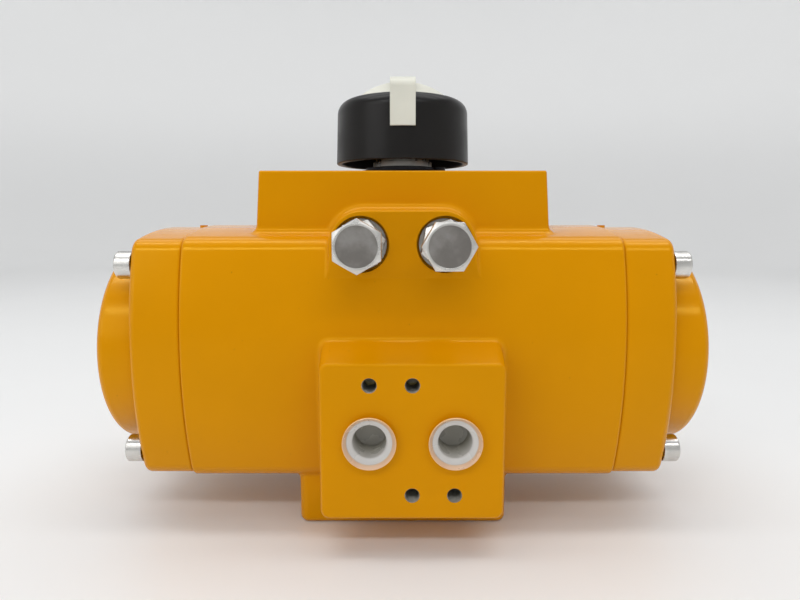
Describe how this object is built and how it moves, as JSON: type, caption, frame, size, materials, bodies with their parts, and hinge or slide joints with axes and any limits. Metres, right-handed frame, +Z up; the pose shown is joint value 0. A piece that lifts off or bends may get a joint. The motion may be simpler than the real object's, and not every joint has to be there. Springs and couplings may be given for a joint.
{
  "type": "rotary pneumatic actuator",
  "caption": "Quarter-turn rack-and-pinion pneumatic actuator with domed end caps, travel-stop screws, air-valve pad and a cup-shaped position indicator.",
  "frame": {"origin": "on the pinion axis, in the plane of the valve mounting face underneath", "axes": "+Z up along the pinion, +X along the cylinder, -Y towards the side with the air ports"},
  "size_m": [0.1866, 0.0893, 0.143],
  "materials": {
    "yellow_paint": "glossy powder coat",
    "stainless": "bright drawn",
    "seal_steel": "bonded seal, zinc plated",
    "plated_steel": "nickel plated",
    "spring_steel": "blackened",
    "bare_aluminium": "machined casting",
    "black_rubber": "matt",
    "white_nylon": "satin",
    "black_plastic": "semi-gloss moulded",
    "ivory_plastic": "satin moulded",
    "clear_plastic": "translucent polyethylene"
  },
  "bodies": {
    "housing": {"body": "yellow_paint", "end_cap_left": "yellow_paint", "end_cap_right": "yellow_paint", "end_cap_seal_left": "black_rubber", "end_cap_seal_right": "black_rubber", "end_cap_screws_left": "stainless", "end_cap_screws_right": "stainless", "stop_lock_nut_left": "stainless", "stop_lock_nut_right": "stainless", "stop_seal_washer_left": "seal_steel", "stop_seal_washer_right": "seal_steel"},
    "output_shaft": {"pinion": "plated_steel", "stop_cam": "plated_steel", "cam_thrust_washer": "white_nylon", "pinion_bearing_lower": "white_nylon", "pinion_bearing_upper": "white_nylon", "pinion_o_ring_lower": "black_rubber", "pinion_o_ring_upper": "black_rubber", "thrust_washer": "black_plastic", "snap_ring": "spring_steel", "indicator_cap": "black_plastic", "indicator_pointer": "ivory_plastic", "indicator_screw": "stainless"},
    "piston_right": {"piston_right": "bare_aluminium", "piston_o_ring_right": "black_rubber", "piston_wear_ring_right": "white_nylon", "rack_guide_pad_right": "white_nylon"},
    "piston_left": {"piston_left": "bare_aluminium", "piston_o_ring_left": "black_rubber", "piston_wear_ring_left": "white_nylon", "rack_guide_pad_left": "white_nylon"},
    "stop_screw_left": {"stop_bolt_left": "stainless"},
    "stop_screw_right": {"stop_bolt_right": "stainless"},
    "plug_left": {"port_plug_left": "clear_plastic"},
    "plug_right": {"port_plug_right": "clear_plastic"}
  },
  "joints": [
    {"name": "output_turn", "type": "hinge", "parent": "housing", "child": "output_shaft", "pos_m": [0, 0, 0], "axis": [0, 0, 1], "range_deg": [0, 90]},
    {"name": "piston_right_slide", "type": "slide", "parent": "housing", "child": "piston_right", "axis": [1, 0, 0], "range_m": [0, 0.02121]},
    {"name": "piston_left_slide", "type": "slide", "parent": "housing", "child": "piston_left", "axis": [-1, 0, 0], "range_m": [0, 0.0213]},
    {"name": "stop_screw_left_out", "type": "slide", "parent": "housing", "child": "stop_screw_left", "axis": [0, -1, 0], "range_m": [0, 0.004]},
    {"name": "stop_screw_right_out", "type": "slide", "parent": "housing", "child": "stop_screw_right", "axis": [0, -1, 0], "range_m": [0, 0.004]},
    {"name": "plug_left_pull", "type": "slide", "parent": "housing", "child": "plug_left", "axis": [0, -1, 0], "range_m": [0, 0.025]},
    {"name": "plug_right_pull", "type": "slide", "parent": "housing", "child": "plug_right", "axis": [0, -1, 0], "range_m": [0, 0.025]}
  ],
  "couplings": [
    {"joint": "output_turn", "follows": "piston_right_slide", "rad_per_m": 74.074},
    {"joint": "piston_left_slide", "follows": "piston_right_slide", "ratio": 1}
  ]
}
